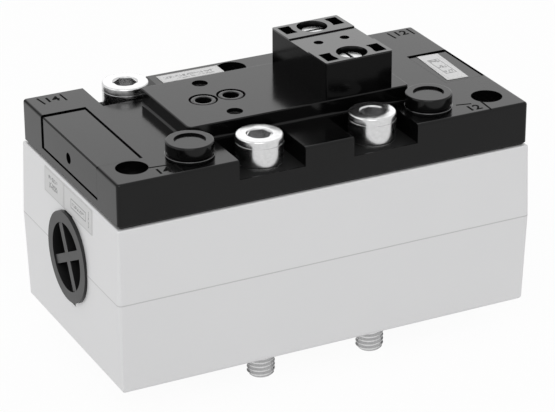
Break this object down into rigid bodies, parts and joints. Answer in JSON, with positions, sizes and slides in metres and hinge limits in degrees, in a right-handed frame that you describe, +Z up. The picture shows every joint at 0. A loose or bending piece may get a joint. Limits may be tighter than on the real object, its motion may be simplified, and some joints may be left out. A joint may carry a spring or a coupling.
{
  "type": "directional control valve",
  "caption": "Spool valve with a cast body for a sub-base, black moulded cover, pilot pad with a cover block, override buttons and fixing screws",
  "frame": {"origin": "centre of the body's flat underside, on the plane that meets the sub-base", "axes": "+X along the spool towards the spring end, +Y away from the front screw pair, +Z up from the sub-base"},
  "size_m": [0.1302, 0.0698, 0.0864],
  "materials": {
    "cast_aluminium": "pale grey die casting, smooth satin",
    "black_plastic": "black moulded plastic, semi-gloss",
    "cap_plastic": "black moulded plastic, satin",
    "acetal": "white bearing plastic",
    "rubber": "black nitrile rubber",
    "machined_aluminium": "turned aluminium, smooth",
    "zinc_steel": "bright zinc-plated steel",
    "spring_steel": "drawn spring steel",
    "label_stock": "white film, bare"
  },
  "bodies": {
    "housing": {"base_gasket": "rubber", "base_pilot_rings": "rubber", "cover_gasket": "rubber", "cover_screws": "zinc_steel", "front_end_label": "label_stock", "left_button_spring": "spring_steel", "left_cap_ring": "rubber", "left_end_cap": "cap_plastic", "left_end_insert": "black_plastic", "left_stack_retainer": "acetal", "mounting_screws": "zinc_steel", "pilot_block": "black_plastic", "pilot_block_rings": "rubber", "pilot_block_screws": "zinc_steel", "pilot_inserts": "zinc_steel", "rear_end_label": "label_stock", "rear_label": "label_stock", "return_spring": "spring_steel", "right_button_spring": "spring_steel", "right_cap_ring": "rubber", "right_end_cap": "cap_plastic", "right_end_insert": "black_plastic", "right_label": "label_stock", "right_stack_retainer": "acetal", "screw_sleeves": "zinc_steel", "spool_cage_1": "acetal", "spool_cage_2": "acetal", "spool_cage_3": "acetal", "spool_cage_4": "acetal", "spool_cage_5": "acetal", "spool_seal_1": "rubber", "spool_seal_2": "rubber", "spool_seal_3": "rubber", "spool_seal_4": "rubber", "spool_seal_5": "rubber", "spool_seal_6": "rubber", "top_cover": "black_plastic", "valve_body": "cast_aluminium"},
    "spool": {"spool": "machined_aluminium", "left_piston": "machined_aluminium", "right_piston": "machined_aluminium", "left_piston_seal": "rubber", "right_piston_seal": "rubber"},
    "left_override": {"left_override_button": "black_plastic", "left_button_clip": "spring_steel", "left_button_ring": "rubber"},
    "right_override": {"right_override_button": "black_plastic", "right_button_clip": "spring_steel", "right_button_ring": "rubber"}
  },
  "joints": [
    {"name": "spool_shift", "type": "slide", "parent": "housing", "child": "spool", "axis": [1, 0, 0], "range_m": [0, 0.006], "stiffness_N_per_m": 600, "springref_m": -0.02, "deforming": ["return_spring"]},
    {"name": "left_button_press", "type": "slide", "parent": "housing", "child": "left_override", "axis": [0, 0, -1], "range_m": [0, 0.001], "stiffness_N_per_m": 800, "springref_m": -0.002, "deforming": ["left_button_spring"]},
    {"name": "right_button_press", "type": "slide", "parent": "housing", "child": "right_override", "axis": [0, 0, -1], "range_m": [0, 0.001], "stiffness_N_per_m": 800, "springref_m": -0.002, "deforming": ["right_button_spring"]}
  ]
}
